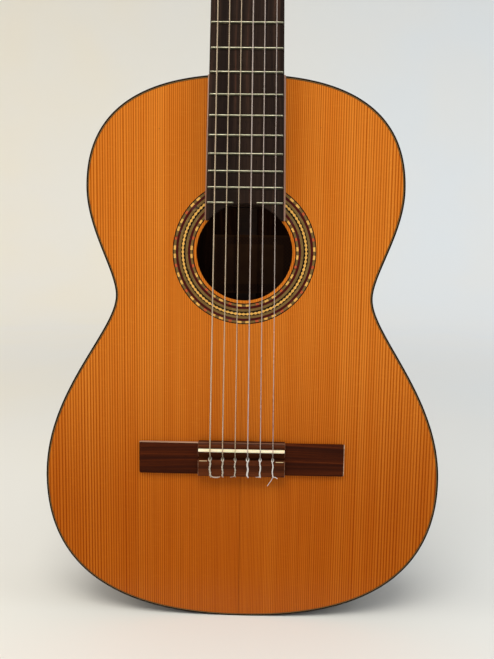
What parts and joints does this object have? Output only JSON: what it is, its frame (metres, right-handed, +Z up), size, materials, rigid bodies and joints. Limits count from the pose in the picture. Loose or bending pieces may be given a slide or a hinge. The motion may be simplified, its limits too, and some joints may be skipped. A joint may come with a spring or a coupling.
{
  "type": "classical guitar",
  "caption": "Acoustic guitar with a waisted hollow wooden body, round soundhole, mosaic rosette, tied bridge, slotted head with worm tuners, nylon and wound strings.",
  "frame": {"origin": "centre of the tail's flat end graft, on the centreline, half way between soundboard and back", "axes": "+Z up the neck to the head, -Y the way the soundboard faces, +X the treble side"},
  "size_m": [0.3564, 0.1115, 0.9981],
  "materials": {
    "spruce_top": "gloss amber lacquer on straight-grained softwood",
    "rosewood": "gloss lacquer on dark straight-grained hardwood",
    "rosewood_bridge": "satin oiled dark hardwood",
    "binding": "gloss dark hardwood strip",
    "ebony": "satin bare dark hardwood",
    "cedar": "gloss lacquer on straight-grained cedar",
    "brace_spruce": "bare spruce",
    "mosaic": "gloss inlay of dyed wood tiles",
    "bone": "polished bone",
    "roller_bone": "satin cream barrel",
    "pearl": "pearl button",
    "brass": "polished brass",
    "nickel_silver": "worn nickel silver",
    "wound_string": "silver-plated winding",
    "nylon": "clear nylon"
  },
  "bodies": {
    "root": {"soundboard": "spruce_top", "back_plate": "rosewood", "rib_treble": "rosewood", "rib_bass": "rosewood", "top_binding": "binding", "back_binding": "binding", "top_lining": "cedar", "back_lining": "cedar", "tail_block": "cedar", "upper_transverse_bar": "brace_spruce", "lower_transverse_bar": "brace_spruce", "fan_bracing": "brace_spruce", "back_bracing": "brace_spruce", "rosette": "mosaic", "neck": "cedar", "fingerboard": "ebony", "nut": "bone", "bridge": "rosewood_bridge", "saddle": "bone", "head_veneer": "rosewood", "tuner_plate_bass": "brass", "tuner_plate_treble": "brass", "fret_01": "nickel_silver", "fret_02": "nickel_silver", "fret_03": "nickel_silver", "fret_04": "nickel_silver", "fret_05": "nickel_silver", "fret_06": "nickel_silver", "fret_07": "nickel_silver", "fret_08": "nickel_silver", "fret_09": "nickel_silver", "fret_10": "nickel_silver", "fret_11": "nickel_silver", "fret_12": "nickel_silver", "fret_13": "nickel_silver", "fret_14": "nickel_silver", "fret_15": "nickel_silver", "fret_16": "nickel_silver", "fret_17": "nickel_silver", "fret_18": "nickel_silver", "fret_19_bass": "nickel_silver", "fret_19_treble": "nickel_silver", "string_6": "wound_string", "string_5": "wound_string", "string_4": "wound_string", "string_3": "nylon", "string_2": "nylon", "string_1": "nylon"},
    "roller_6": {"string_roller_6": "roller_bone"},
    "button_6": {"tuner_button_6": "pearl"},
    "roller_5": {"string_roller_5": "roller_bone"},
    "button_5": {"tuner_button_5": "pearl"},
    "roller_4": {"string_roller_4": "roller_bone"},
    "button_4": {"tuner_button_4": "pearl"},
    "roller_3": {"string_roller_3": "roller_bone"},
    "button_3": {"tuner_button_3": "pearl"},
    "roller_2": {"string_roller_2": "roller_bone"},
    "button_2": {"tuner_button_2": "pearl"},
    "roller_1": {"string_roller_1": "roller_bone"},
    "button_1": {"tuner_button_1": "pearl"}
  },
  "joints": [
    {"name": "button_6_turn", "type": "hinge", "parent": "root", "child": "button_6", "pos_m": [-0.0403, -0.03133, 0.84539], "axis": [0, 0.9659, -0.2588], "continuous": true},
    {"name": "roller_6_turn", "type": "hinge", "parent": "root", "child": "roller_6", "pos_m": [-0.0403, -0.02944, 0.85244], "axis": [1, 0, 0], "continuous": true},
    {"name": "button_5_turn", "type": "hinge", "parent": "root", "child": "button_5", "pos_m": [-0.0403, -0.02227, 0.87919], "axis": [0, 0.9659, -0.2588], "continuous": true},
    {"name": "roller_5_turn", "type": "hinge", "parent": "root", "child": "roller_5", "pos_m": [-0.0403, -0.02038, 0.88624], "axis": [1, 0, 0], "continuous": true},
    {"name": "button_4_turn", "type": "hinge", "parent": "root", "child": "button_4", "pos_m": [-0.0403, -0.01321, 0.913], "axis": [0, 0.9659, -0.2588], "continuous": true},
    {"name": "roller_4_turn", "type": "hinge", "parent": "root", "child": "roller_4", "pos_m": [-0.0403, -0.01132, 0.92005], "axis": [1, 0, 0], "continuous": true},
    {"name": "button_3_turn", "type": "hinge", "parent": "root", "child": "button_3", "pos_m": [0.0403, -0.01321, 0.913], "axis": [0, 0.9659, -0.2588], "continuous": true},
    {"name": "roller_3_turn", "type": "hinge", "parent": "root", "child": "roller_3", "pos_m": [0.0403, -0.01132, 0.92005], "axis": [1, 0, 0], "continuous": true},
    {"name": "button_2_turn", "type": "hinge", "parent": "root", "child": "button_2", "pos_m": [0.0403, -0.02227, 0.87919], "axis": [0, 0.9659, -0.2588], "continuous": true},
    {"name": "roller_2_turn", "type": "hinge", "parent": "root", "child": "roller_2", "pos_m": [0.0403, -0.02038, 0.88624], "axis": [1, 0, 0], "continuous": true},
    {"name": "button_1_turn", "type": "hinge", "parent": "root", "child": "button_1", "pos_m": [0.0403, -0.03133, 0.84539], "axis": [0, 0.9659, -0.2588], "continuous": true},
    {"name": "roller_1_turn", "type": "hinge", "parent": "root", "child": "roller_1", "pos_m": [0.0403, -0.02944, 0.85244], "axis": [1, 0, 0], "continuous": true}
  ],
  "couplings": [
    {"joint": "roller_6_turn", "follows": "button_6_turn", "ratio": -0.0625},
    {"joint": "roller_5_turn", "follows": "button_5_turn", "ratio": -0.0625},
    {"joint": "roller_4_turn", "follows": "button_4_turn", "ratio": -0.0625},
    {"joint": "roller_3_turn", "follows": "button_3_turn", "ratio": -0.0625},
    {"joint": "roller_2_turn", "follows": "button_2_turn", "ratio": -0.0625},
    {"joint": "roller_1_turn", "follows": "button_1_turn", "ratio": -0.0625}
  ]
}
